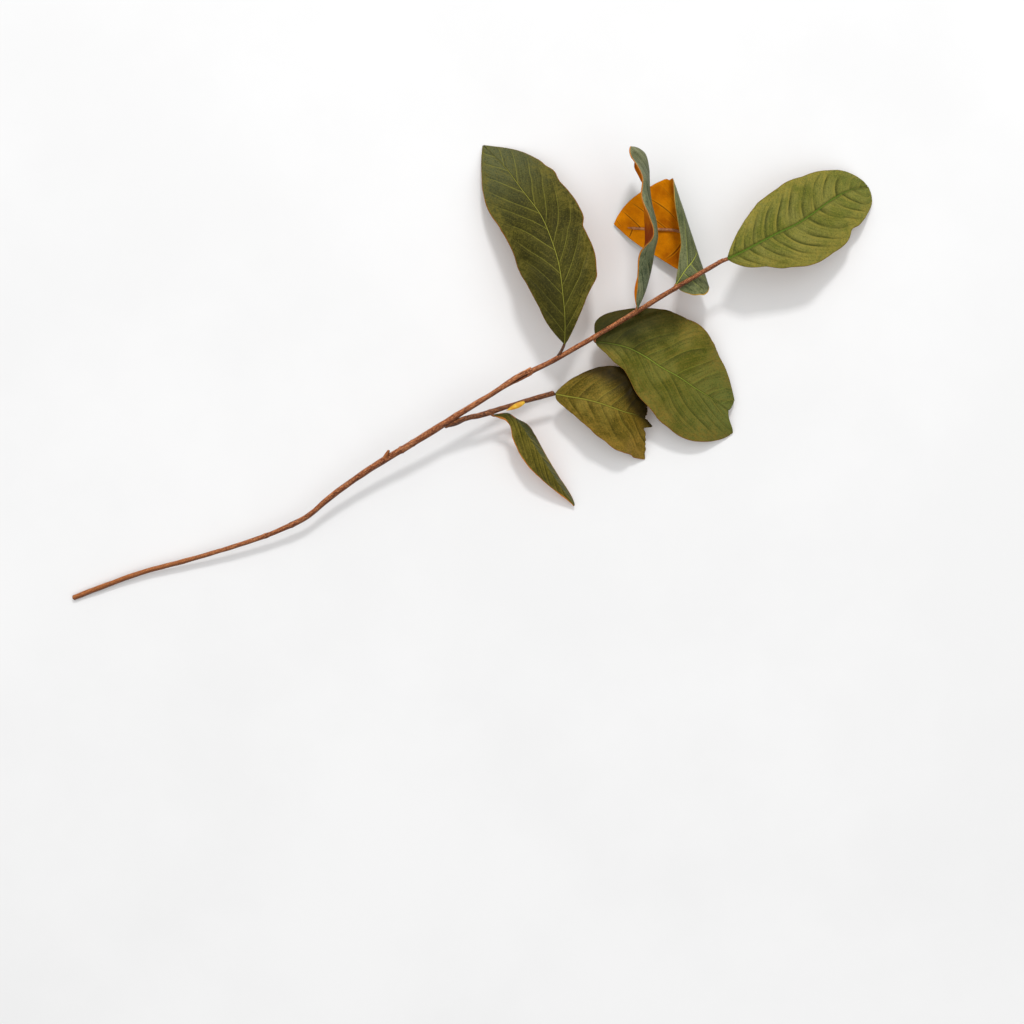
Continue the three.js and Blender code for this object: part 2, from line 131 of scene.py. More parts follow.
# Leaves. stalk is where the leaf stalk starts, inside the wood; rib is the middle line of the
# blade. Pairs are for the left and the right half: width is half widths at equal steps along
# the rib, fold and curl are angles in degrees, and sweep leans a half towards the tip. turn
# rolls the blade about its rib, and a rolled leaf has the direction of its rulings instead.
# taper is how late the end rounds off, where it does. waves are margin ripples: height, number
# and start. laterals are the side veins: how many, how far each runs forward for its reach,
# how much more it does so near the margin, and how high the blade swells between two. soft
# rounds the creases at the veins. nicks are hollows of the margin: side, place, length and
# depth. bites are hollows of the end: place, width and depth. A nick or a bite with a depth
# below 0 stands out. torn is how far a broken end is jagged. foot is the stalk's radius at the
# wood, and thick has the radii of the rib, which ends at rib_end along the blade.
LEAVES = {
    "leaf_upper": dict(
        slot="leaf_dark", stalk=[73, 8, 35],
        rib=[[79, 19, 40], [79, 40, 47], [77, 62, 50], [74, 84, 49], [68, 105, 44],
             [59, 127, 36], [44, 149, 25], [29, 171, 13], [11, 191, 0.2]],
        width=([1, 15, 22, 29, 34, 34, 35, 35, 31, 21, 4],
               [1, 10, 19, 29, 32, 30, 33, 32, 31, 20, 3]),
        fold=([10, 6, 4], [10, 6, 4]), curl=([-30, -25, -20], [-30, -30, -25]),
        taper=40, waves=[[1.4, 3.5, 0.1], [0.7, 7, 0.4]],
        laterals=(10, (1.45, 1.8), (0.2, 0.1), 0.45),
        nicks=[(-1, 0.8, 0.02, 1.2), (-1, 0.76, 0.03, -1.2), (-1, 0.56, 0.03, -1.0),
               (-1, 0.52, 0.02, 1.0), (-1, 0.3, 0.03, -1.2), (1, 0.7, 0.05, 0.8)],
    ),
    "leaf_edge_on": dict(
        slot="leaf_bluish", stalk=[139, 46, 40],
        rib=[[139.5, 47.5, 43.5], [145.5, 61.5, 47], [149.5, 76, 50], [152, 90, 52],
             [154, 103.5, 53], [153.5, 118.5, 53], [150.5, 133.5, 52], [148.5, 148.5, 50],
             [148.5, 164, 47], [145.5, 177, 42], [139, 182, 31]],
        width=([1, 16, 25, 30, 32, 33, 32, 30, 26, 20, 7],
               [1, 16, 25, 30, 31, 31, 30, 28, 25, 15, 6]),
        turn=[90, 90],
        fold=([-35, -18, -15, -12, 6, 1, -5, -1, -22, -41, -70],
              [-40, -17, -3, 0, 1, 2, 6, 10, 2, -30, -60]),
        curl=([-30, -30], [-30, -30]), taper=14, waves=[],
        laterals=(9, (0.8, 0.8), (0.3, 0.3), 0.3),
    ),
    "leaf_rolled": dict(
        slot="leaf_rust", stalk=[169.5, 64.5, 43],
        rib=[[171.5, 68.5, 39], [178.5, 79.5, 41], [185.5, 88.5, 39.5], [189.5, 98.5, 29],
             [184, 110, 19], [175, 116.5, 15], [152, 118.5, 11], [133.5, 120.5, 6.5],
             [122, 124, 2.5]],
        ruling=[-0.324, 0.946, 0.07],
        width=([2, 7, 14, 22, 46, 58, 62, 57, 51, 48, 44, 38, 31, 24, 16, 9, 2],
               [4, 13, 21, 25.5, 30, 32, 33, 38, 42, 43, 42, 35, 26, 19, 11.5, 6, 2]),
        taper=30, waves=[],
        thick=[1.2, 1.2, 1.2, 1.3, 1.3, 1.1], rib_end=0.875,
        laterals=(8, (0.5, 0.5), (0.2, 0.2), 0.15),
    ),
    "leaf_tip": dict(
        slot="leaf_pale", stalk=[206, 86, 46.3],
        rib=[[213.6, 89, 46.8], [227, 95.5, 48], [241, 103, 47], [256, 111, 44], [272, 119, 39],
             [288, 130, 31.5], [304, 142, 22], [320, 151, 12], [337, 156, 0.2]],
        width=([1.5, 12.5, 20.5, 27, 32, 34, 34, 30, 25, 19, 13],
               [2.5, 14, 20, 28, 33, 37, 37, 36, 32, 28, 24]),
        sweep=([0, 0], [0, 0, 0, 0, 20]),
        fold=([14, 10, 6], [10, 8, 6]), curl=([-30, -25, -15], [-30, -25, -15]),
        taper=14, waves=[[1.2, 3, 0.6], [0.6, 8, 0.1]],
        laterals=(12, (0.15, 0.25), (0.8, 0.85), 0.9), soft=0.15,
        nicks=[(-1, 0.76, 0.035, 3.0), (-1, 0.66, 0.05, -0.8)],
        foot=1.8, thick=[1.6, 1.1, 0.8, 0.6, 0.45, 0.3],
    ),
    "leaf_broad": dict(
        slot="leaf_green", stalk=[103.5, 25, 37],
        rib=[[105, 21.6, 33.4], [117.5, 20, 33.5], [132, 16.5, 33.5], [146, 9.5, 32.5],
             [160, 0.5, 30.5], [175, -7.5, 27.5], [189, -16.5, 22.5], [204, -25, 16],
             [219, -35, 8]],
        width=([16, 26, 33, 41, 47, 49, 49, 44, 38, 26, 11],
               [2, 9, 16, 19, 25, 32, 38, 40, 42, 35, 24]),
        sweep=([-15, 0, 0, 0, 0], [0, 0, 0, 10, 50]),
        turn=[-4, -6, -8],
        fold=([6, 6, 6], [2, 2, 2]), curl=([-25, -25, -25], [-25, -25, -25]),
        waves=[[1.6, 3, 0.3], [0.6, 7, 0]],
        laterals=(9, (0.55, 1.5), (0.3, 0.2), 0.5),
        bites=[(-0.3, 0.3, 3.0), (-1.0, 0.12, 4.0)],
    ),
    "leaf_twig_end": dict(
        slot="leaf_ochre", stalk=[65, -22.5, 24.5],
        rib=[[72, -21.4, 24.5], [83, -23.8, 28], [95, -26, 31], [107, -29, 32], [119, -33, 31],
             [129, -36.5, 28], [138, -38.5, 23], [146, -41.5, 17]],
        width=([3, 13.5, 20.5, 27, 32, 35, 36.5, 35, 31, 23, 12],
               [4, 9, 14, 19, 23, 27, 30, 34, 37, 38, 38]),
        sweep=([0, 0], [0, 0, 5, 17, 33]),
        fold=([4, 4], [4, 4]), curl=([-25, -30], [-25, -30]),
        torn=2.2, bites=[(-0.1, 0.1, -8.5), (-0.25, 0.06, 2.5)],
        waves=[[1.2, 3, 0.8], [0.6, 6, 0.5]],
        laterals=(6, (0.5, 0.6), (0.3, 0.3), 0.7),
    ),
    "leaf_twig_small": dict(
        slot="leaf_folded", stalk=[16.5, -37, 25.3],
        rib=[[20, -39, 24.5], [32, -38.5, 27], [41, -46, 30], [48, -56, 31],
             [55.5, -67.5, 30], [63, -79.5, 27], [70.5, -91, 21], [78.5, -102.5, 13],
             [88, -115, 4]],
        width=([1, 1.5, 2.5, 9, 10, 9, 8, 8, 8, 9, 10],
               [1, 6, 8, 13, 15, 16, 15, 12, 9, 5, 1]),
        fold=([-50, -50], [-15, -15]), curl=([-10, -10], [-30, -30]),
        taper=10, waves=[[0.6, 3, 0.2]],
        laterals=(8, (1.8, 3.2), (0.3, 0.3), 0.5),
    ),
}


def along(values, t):
    """A smooth curve through values at equal steps of t from 0 to 1: a Catmull-Rom cubic for
    each stretch, with the end stretches' outer neighbours mirrored through the end values."""
    points = np.asarray(values, float)
    points = np.concatenate([[2 * points[0] - points[1]], points, [2 * points[-1] - points[-2]]])
    stretches = len(values) - 1
    place = np.clip(np.asarray(t, float), 0, 1) * stretches
    stretch = np.minimum(place.astype(int), stretches - 1)
    s = place - stretch
    if points.ndim > 1:
        s = s[..., None]
    a, b, c, d = (points[stretch + k] for k in range(4))
    return b + 0.5 * s * (c - a + s * (2 * a - 5 * b + 4 * c - d + s * (3 * (b - c) + d - a)))


def unit(vectors):
    """Vectors divided by their lengths."""
    return vectors / np.maximum(np.linalg.norm(vectors, axis=-1, keepdims=True), 1e-12)


def heading(points, t):
    """The direction of the curve through points at t: a short chord round it."""
    return unit(along(points, t + 1e-4) - along(points, t - 1e-4))


def path_length(points):
    """The length of the smooth curve through points, as 400 chords."""
    places = along(points, np.linspace(0, 1, 401))
    return np.linalg.norm(np.diff(places, axis=0), axis=1).sum()


def unevenness(seed, *coordinates):
    """Smooth seeded unevenness, mostly between -1 and 1: a sum of sines along random
    directions, over the root of their number."""
    draw = np.random.default_rng(seed)
    waves = 14
    total = 0.0
    for _ in range(waves):
        direction = draw.normal(size=len(coordinates))
        start = draw.uniform(0, 2 * np.pi)
        total = total + np.sin(sum(k * c for k, c in zip(direction, coordinates)) + start)
    return total / np.sqrt(waves)


def hump(value, width):
    """A smooth hump, the bell curve: 1 where the value is 0, and 1/e at a width from there."""
    return np.exp(-((value / width) ** 2))


def half(leaf, name, t, u):
    """A value of the leaf's left half where u is 0 or above, and of its right half elsewhere,
    along the rib at t. It is 0 for a leaf that has no such value."""
    left, right = leaf.get(name, ([0, 0], [0, 0]))
    return np.where(u >= 0, along(left, t), along(right, t))


def half_width(leaf, t, u):
    """The half width of a blade at t, from its list: rounded off at the base, and at the end
    where it tapers, with a slightly uneven margin and the leaf's nicks."""
    side = np.where(u < 0, -1.0, 1.0)
    rounding = np.sqrt(np.maximum(1 - (1 - t) ** BASE_ROUNDING, 0))
    if "taper" in leaf:
        rounding = rounding * np.sqrt(np.maximum(1 - t ** leaf["taper"], 0))
    width = half(leaf, "width", t, u) + UNEVEN_MARGIN * unevenness(MARGIN_SEED, t * 30, 5 * side)
    for nick_side, place, spread, depth in leaf.get("nicks", []):
        width = width - depth * (side == nick_side) * hump(t - place, spread)
    return np.maximum(width * rounding, LEAST_HALF_WIDTH)


def blade_surface(leaf, t, u):
    """The middle surface of a blade. t runs from the base to the tip, and u from 1 at the left
    margin over 0 at the rib to -1 at the right one. A half leaves the rib at the fold angle and
    bends evenly by the curl angle, so its section is an arc; waves lift the margin by sines of
    t, and a rolled leaf has straight rulings across its rib instead. A broken end is moved
    along the rib by a zigzag in u, and any end by its bites, which are humps in u."""
    q = np.maximum(np.abs(u), 1e-6)
    side = np.where(u < 0, -1.0, 1.0)
    width = half_width(leaf, t, u) * q
    middle = along(leaf["rib"], t)
    if "ruling" in leaf:
        return middle + (side * width)[..., None] * np.array(leaf["ruling"])
    ahead = heading(leaf["rib"], t)
    chord = np.subtract(leaf["rib"][-1], leaf["rib"][0])
    level = np.array([-chord[1], chord[0], 0.0])
    out = unit(level - (ahead @ level)[..., None] * ahead)
    top = np.cross(ahead, out)
    turn = np.radians(along(leaf.get("turn", [0, 0]), t))[..., None]
    outward = out * np.cos(turn) + top * np.sin(turn)
    upward = top * np.cos(turn) - out * np.sin(turn)
    fold = np.radians(half(leaf, "fold", t, u))
    bent = np.radians(half(leaf, "curl", t, u)) * q
    sweep = np.radians(half(leaf, "sweep", t, u))
    reach = width / bent * (np.sin(fold + bent) - np.sin(fold))
    rise = width / bent * (np.cos(fold) - np.cos(fold + bent))
    for height, number, start in leaf["waves"]:
        ripple = np.sin(2 * np.pi * (number * t + start + np.where(u < 0, 0.3, 0)))
        rise = rise + height * q * q * ripple * np.sin(np.pi * t)
    jags = np.abs((6.5 * u + 0.3 * np.sin(11 * u)) % 1 - 0.5) + 0.4 * np.sin(3 * u)
    torn = leaf.get("torn", 0) * t ** JAGGED_END * jags
    for place, spread, depth in leaf.get("bites", []):
        torn = torn - depth * t ** BITTEN_END * hump(u - place, spread)
    return (
        middle
        + outward * (side * reach * np.cos(sweep))[..., None]
        + ahead * (reach * np.sin(sweep) + torn)[..., None]
        + upward * rise[..., None]
    )


def vein_count(leaf, t, u, left):
    """Which side vein a place lies on: whole numbers are veins, and halves lie between two. A
    vein that leaves the rib at y0 and has gone out by x is at y0 + lean x + bow x x / width, so
    y0 follows from the place. The veins start at equal steps, each with a small seeded shift."""
    number, leans, bows, _ = leaf["laterals"]
    side = 0 if left else 1
    length = path_length(leaf["rib"])
    q = np.abs(u)
    width = np.maximum(along(leaf["width"][side], t), LEAST_HALF_WIDTH)
    start = (t * length - leans[side] * q * width - bows[side] * q * q * width) / length
    steps = np.arange(-20, 30)
    draw = np.random.default_rng(len(leaf["rib"]) * 7 + number + side)
    shifts = draw.uniform(-VEIN_SHIFT, VEIN_SHIFT, len(steps))
    marks = (steps + VEIN_START + VEIN_STAGGER * side + shifts) / number
    return np.interp(start, marks, steps)


def normals(grid):
    """Unit normals of a grid of points: the cross product of its two directions."""
    forward = np.gradient(grid, axis=0)
    rightward = np.gradient(grid, axis=1)
    return unit(np.cross(rightward, forward))


def relief(leaf, t, u, count):
    """How far the blade swells between its side veins: a power of the squared sine of the vein
    count, seeded to vary, and fading out at the rib and the margin."""
    q = np.abs(u)
    soft = leaf.get("soft", 0.02)
    height = leaf["laterals"][3]
    swell = (np.sin(np.pi * count) ** 2 + soft) ** 0.4 - 0.5
    varied = 1 + 0.5 * unevenness(RELIEF_SEED, count * 1.1, q * 3 + 2 * np.sign(u))
    return height * varied * swell * (1 - hump(q, 0.2)) * (1 - q ** 6)


def shell_mesh(name, upper, lower, layers):
    """A closed thin body from two matching grids: both faces, and a rounded edge of two strips
    along the border. layers are UV values, as grids for the left and for the right half. The
    faces' material numbers are 0 above, 1 below and 2 at the edge."""
    rows, columns = upper.shape[:2]
    size = rows * columns
    number = np.arange(size).reshape(rows, columns)
    border = np.concatenate([
        number[:, 0], number[-1, 1:], number[-2::-1, -1], number[0, -2:0:-1],
    ])
    inner = np.clip(border // columns, 1, rows - 2) * columns
    inner = inner + np.clip(border % columns, 1, columns - 2)
    flat_upper = upper.reshape(-1, 3)
    flat_lower = lower.reshape(-1, 3)
    centre = (flat_upper + flat_lower) / 2
    edge = centre[border] + EDGE_ROUND * unit(centre[border] - centre[inner])
    points = np.concatenate([flat_upper, flat_lower, edge])

    a = number[:-1, :-1].ravel()
    top = np.stack([a, a + 1, a + 1 + columns, a + columns], 1)
    bottom = top[:, ::-1] + size
    ring = np.arange(len(border))
    onward = np.roll(ring, -1)
    above = np.stack([border, border[onward], 2 * size + onward, 2 * size + ring], 1)
    below = np.stack([2 * size + ring, 2 * size + onward, size + border[onward],
                      size + border], 1)
    faces = np.concatenate([top, bottom, above, below])
    kinds = np.repeat([0, 1, 2], [len(top), len(bottom), 2 * len(above)])

    left = (np.arange(columns - 1) < columns // 2)[None, :].repeat(rows - 1, 0).ravel()
    edge_left = np.minimum(border % columns, border[onward] % columns) < columns // 2
    on_left = np.concatenate([left, left, edge_left, edge_left])
    source = np.concatenate([np.arange(size), np.arange(size), border])
    corners = source[faces]
    uvs = {}
    for layer, (left_values, right_values) in layers.items():
        uvs[layer] = np.where(
            on_left[:, None, None],
            left_values.reshape(-1, 2)[corners],
            right_values.reshape(-1, 2)[corners],
        )
    return mesh_object(name, points, faces, kinds, uvs)


def mesh_object(name, points, faces, kinds, uvs=None, marks=None):
    """A smooth-shaded object from points in millimetres and faces of four corners; a face with
    a repeated last corner is a triangle. marks are vectors kept on the points."""
    mesh = bpy.data.meshes.new(name)
    triangle = faces[:, 2] == faces[:, 3]
    sizes = np.where(triangle, 3, 4)
    keep = np.ones(faces.shape, bool)
    keep[triangle, 3] = False
    mesh.vertices.add(len(points))
    mesh.vertices.foreach_set("co", (points * MM).astype(np.float32).ravel())
    mesh.loops.add(int(sizes.sum()))
    mesh.loops.foreach_set("vertex_index", faces[keep].astype(np.int32))
    mesh.polygons.add(len(faces))
    mesh.polygons.foreach_set("loop_start", np.concatenate([[0], np.cumsum(sizes)[:-1]]))
    mesh.polygons.foreach_set("loop_total", sizes)
    mesh.polygons.foreach_set("material_index", np.asarray(kinds, np.int32))
    mesh.polygons.foreach_set("use_smooth", np.ones(len(faces), bool))
    for layer, values in (uvs or {}).items():
        uv_layer = mesh.uv_layers.new(name=layer)
        uv_layer.uv.foreach_set("vector", values[keep].astype(np.float32).ravel())
    for mark, values in (marks or {}).items():
        attribute = mesh.attributes.new(mark, "FLOAT_VECTOR", "POINT")
        attribute.data.foreach_set("vector", values.astype(np.float32).ravel())
    mesh.update(calc_edges=True)
    mesh.validate()
    piece = bpy.data.objects.new(name, mesh)
    bpy.context.scene.collection.objects.link(piece)
    return piece


def leaf_grid(leaf):
    """The grids of t and u for a blade: equal rows, and columns closer together at the rib."""
    t = np.linspace(0, 1, BLADE_ROWS + 1)
    steps = np.linspace(1, -1, 2 * BLADE_HALF + 1)
    u = np.sign(steps) * np.abs(steps) ** CLOSER_AT_RIB
    return np.meshgrid(t, u, indexing="ij")


def blade(name, leaf):
    """A leaf's blade: its middle surface swollen between the veins, with a groove along the rib
    above and low ridges along the veins below, thinner at the margin."""
    t, u = leaf_grid(leaf)
    counts = vein_count(leaf, t, u, True), vein_count(leaf, t, u, False)
    count = np.where(u >= 0, counts[0], counts[1])
    width = half_width(leaf, t, u)
    middle = blade_surface(leaf, t, u)
    middle = middle + normals(middle) * relief(leaf, t, u, count)[..., None]
    out = normals(middle)
    x = u * width
    thick = HALF_THICK + (HALF_THIN - HALF_THICK) * np.abs(u) ** 3
    groove = GROOVE[0] * hump(x, GROOVE[1]) * (1 - 0.6 * t)
    off_vein = np.abs(count - np.round(count)) * path_length(leaf["rib"]) / leaf["laterals"][0]
    ridge = RIDGE[0] * hump(off_vein, RIDGE[1]) * (1 - np.abs(u) ** 2)
    upper = middle + out * (thick - groove)[..., None]
    lower = middle - out * (thick + ridge)[..., None]
    place = np.stack([u, t], -1)
    layers = {
        "place": (place, place),
        "vein": (np.stack([counts[0], x], -1), np.stack([counts[1], x], -1)),
    }
    return shell_mesh(name, upper, lower, layers)


def rings(centres, radii, sides=WOOD_SIDES):
    """Rings round a line of centres: each ring's plane is square to the line, and its points go
    round from the line's right side over its top."""
    ahead = unit(np.gradient(centres, axis=0))
    across = unit(np.cross(ahead, np.array([0.0, 0.0, 1.0])))
    over = np.cross(across, ahead)
    angle = np.linspace(0, 2 * np.pi, sides, endpoint=False)
    radii = np.broadcast_to(radii, (len(centres), sides))
    return (
        centres[:, None]
        + (radii * np.cos(angle))[..., None] * across[:, None]
        + (radii * np.sin(angle))[..., None] * over[:, None]
    )


def tube(name, grid, marks, kinds=(0, 0, 0)):
    """A closed tube from rings of points, each end closed by a fan to the ring's centre. kinds
    are the material numbers of the wall and of the two ends."""
    count, sides = grid.shape[:2]
    number = np.arange(count * sides).reshape(count, sides)
    onward = np.roll(number, -1, axis=1)
    wall = np.stack([number[:-1], onward[:-1], onward[1:], number[1:]], -1).reshape(-1, 4)
    first, last = count * sides, count * sides + 1
    start = np.stack([np.full(sides, first), onward[0], number[0], number[0]], 1)
    end = np.stack([np.full(sides, last), number[-1], onward[-1], onward[-1]], 1)
    points = np.concatenate([grid.reshape(-1, 3), [grid[0].mean(0)], [grid[-1].mean(0)]])
    faces = np.concatenate([wall, start, end])
    kind = np.repeat(kinds, [len(wall), sides, sides])
    values = {}
    for mark, grid_values in marks.items():
        flat = grid_values.reshape(-1, 3)
        ends = [grid_values[0].mean(0), grid_values[-1].mean(0)]
        values[mark] = np.concatenate([flat, ends])
    return mesh_object(name, points, faces, kind, marks=values)


def grain_of(centres, sides):
    """Where each point of a tube lies in its own grain: round it and along it, in mm."""
    steps = np.linalg.norm(np.diff(centres, axis=0), axis=1)
    distance = np.concatenate([[0], np.cumsum(steps)])
    angle = np.linspace(0, 2 * np.pi, sides, endpoint=False)
    shape = (len(centres), sides)
    return np.stack([
        np.broadcast_to(GRAIN_RADIUS * np.cos(angle), shape),
        np.broadcast_to(GRAIN_RADIUS * np.sin(angle), shape),
        np.broadcast_to(distance[:, None], shape),
    ], -1)


def stalk(name, leaf):
    """The stalk of a leaf, from inside the wood to the blade, and on as the rib under it: rings
    along a curve that dips below the blade, with the rib's radii, closing at its end."""
    t = np.linspace(0, leaf.get("rib_end", 0.96), STALK_RINGS)
    zero = np.zeros_like(t)
    grid_t, grid_u = np.meshgrid(t, [0.05, 0.0, -0.05], indexing="ij")
    under = normals(blade_surface(leaf, grid_t, grid_u))[:, 1]
    radius = along(leaf.get("thick", RIB_RADII), t / t[-1])
    rib = blade_surface(leaf, t, zero) - under * (radius + RIB_BELOW)[:, None]
    lead = np.linspace(0, 1, NECK_RINGS, endpoint=False)
    foot = np.array(leaf["stalk"], float)
    neck = rib[0]
    slope = unit(rib[1] - rib[0])
    pull = np.linalg.norm(neck - foot) * 0.5
    bend = (
        foot + (neck - foot) * lead[:, None]
        + slope * (pull * lead * lead * (lead - 1))[:, None]
    )
    centres = np.concatenate([bend, rib])
    radii = np.concatenate([along([leaf.get("foot", STALK_FOOT), radius[0]], lead), radius])
    radii[-RIB_END_RINGS:] *= np.sqrt(np.linspace(1, 0.1, RIB_END_RINGS))
    grid = rings(centres, radii[:, None], sides=STALK_SIDES)
    return tube(name, grid, {"grain": grain_of(centres, STALK_SIDES)})


def wood(name, path, steps, seed, scars=(), rough=0.05, ends=(0, 0)):
    """A round limb: rings whose radius follows the path's fourth number, with long shallow
    furrows, gentle lumps, and a raised ring at each scar, given as place, height and width. The
    ends are rounded like a circle's quarter. ends are the material numbers of the two ends."""
    t = np.linspace(0, 1, steps + 1)
    centres = along(np.array(path)[:, :3], t)
    radius = along(np.array(path)[:, 3], t)[:, None]
    grain = grain_of(centres, WOOD_SIDES)
    distance = grain[..., 2]
    furrows = unevenness(seed, *np.moveaxis(grain * FURROWS, -1, 0))
    lumps = unevenness(seed + 1, *np.moveaxis(grain * LUMPS, -1, 0))
    radius = radius * (1 + rough * furrows + rough * lumps)
    for place, height, width in scars:
        radius = radius + height * hump(distance - place * distance[-1, 0], width)
    from_end = np.minimum(distance, distance[-1] - distance)
    radius = radius * np.sqrt(1 - (1 - np.clip((from_end + 0.05) / END_ROUND, 0, 1)) ** 2)
    grid = rings(centres, radius)
    return tube(name, grid, {"grain": grain}, (0, *ends))


def paint(red, green, blue):
    """A colour given as on a screen, 0 to 255, as the linear values that shaders use."""
    value = np.array([red, green, blue]) / 255
    linear = np.where(value > 0.04045, ((value + 0.055) / 1.055) ** 2.4, value / 12.92)
    return (*linear, 1.0)


def darker(colour, part):
    """A colour at a part of its brightness."""
    return tuple(part * value for value in colour[:3]) + (1.0,)


class Finish:
    """A material being made, with short names for the nodes that it is built from."""

    def __init__(self, name, roughness, specular):
        self.material = bpy.data.materials.new(name)
        self.material.use_nodes = True
        self.nodes = self.material.node_tree.nodes
        self.links = self.material.node_tree.links
        self.shader = self.nodes["Principled BSDF"]
        self.shader.inputs["Roughness"].default_value = roughness
        self.shader.inputs["Specular IOR Level"].default_value = specular

    def feed(self, socket, value):
        """Links a node's output to a socket, or sets the socket to a plain value."""
        if isinstance(value, bpy.types.NodeSocket):
            self.links.new(value, socket)
        else:
            socket.default_value = value

    def math(self, operation, *values):
        """A Math node on one, two or three values."""
        node = self.nodes.new("ShaderNodeMath")
        node.operation = operation
        for socket, value in zip(node.inputs, values):
            self.feed(socket, value)
        return node.outputs[0]

    def times(self, first, second):
        """The product of two values."""
        return self.math("MULTIPLY", first, second)

    def plus(self, first, second):
        """The sum of two values."""
        return self.math("ADD", first, second)

    def minus(self, first, second):
        """The first value less the second."""
        return self.math("SUBTRACT", first, second)

    def off_whole(self, value):
        """How far a value is from the nearest whole number."""
        part = self.math("FRACT", self.plus(value, 0.5))
        return self.math("ABSOLUTE", self.minus(part, 0.5))

    def fade(self, value, start, end):
        """0 at start and before it, 1 at end and after it, smooth between."""
        node = self.nodes.new("ShaderNodeMapRange")
        node.interpolation_type = "SMOOTHSTEP"
        self.feed(node.inputs["Value"], value)
        self.feed(node.inputs["From Min"], start)
        self.feed(node.inputs["From Max"], end)
        return node.outputs[0]

    def mix(self, amount, first, second):
        """Two colours mixed by an amount from 0 to 1."""
        node = self.nodes.new("ShaderNodeMix")
        node.data_type = "RGBA"
        self.feed(node.inputs["Factor"], amount)
        self.feed(node.inputs[6], first)
        self.feed(node.inputs[7], second)
        return node.outputs[2]

    def tint(self, colour, other, value, start, end, strength=1.0):
        """A colour that goes over to another as a value runs from start to end, by a strength
        from 0 to 1, which may be a value too."""
        return self.mix(self.times(self.fade(value, start, end), strength), colour, other)

    def join(self, x, y, z=0.0):
        """Three numbers as a vector."""
        node = self.nodes.new("ShaderNodeCombineXYZ")
        for socket, value in zip(node.inputs, (x, y, z)):
            self.feed(socket, value)
        return node.outputs[0]

    def split(self, vector):
        """A vector's three numbers."""
        node = self.nodes.new("ShaderNodeSeparateXYZ")
        self.feed(node.inputs[0], vector)
        return node.outputs

    def uv(self, name):
        """The two numbers of a UV map of the piece."""
        node = self.nodes.new("ShaderNodeUVMap")
        node.uv_map = name
        return self.split(node.outputs[0])[:2]

    def mark(self, name):
        """A vector kept on the points of the piece."""
        node = self.nodes.new("ShaderNodeAttribute")
        node.attribute_name = name
        return node.outputs["Vector"]

    def position(self):
        """Object coordinates."""
        return self.nodes.new("ShaderNodeTexCoord").outputs["Object"]

    def noise(self, vector, scale, detail=3.0, roughness=0.55):
        """Cloudy noise from 0 to 1."""
        node = self.nodes.new("ShaderNodeTexNoise")
        self.feed(node.inputs["Vector"], vector)
        node.inputs["Scale"].default_value = scale
        node.inputs["Detail"].default_value = detail
        node.inputs["Roughness"].default_value = roughness
        return node.outputs[0]

    def cells(self, vector, scale, feature="DISTANCE_TO_EDGE"):
        """A pattern of cells: the distance to the nearest border, or to the nearest centre."""
        node = self.nodes.new("ShaderNodeTexVoronoi")
        node.feature = feature
        self.feed(node.inputs["Vector"], vector)
        node.inputs["Scale"].default_value = scale
        return node.outputs[0]

    def bump(self, height, strength, distance):
        """Bump from a height of 0 to 1, distance in metres."""
        node = self.nodes.new("ShaderNodeBump")
        node.inputs["Strength"].default_value = strength
        node.inputs["Distance"].default_value = distance
        self.feed(node.inputs["Height"], height)
        self.feed(self.shader.inputs["Normal"], node.outputs[0])

    def done(self, colour):
        """Gives the shader its colour, and returns the material."""
        self.feed(self.shader.inputs["Base Color"], colour)
        return self.material


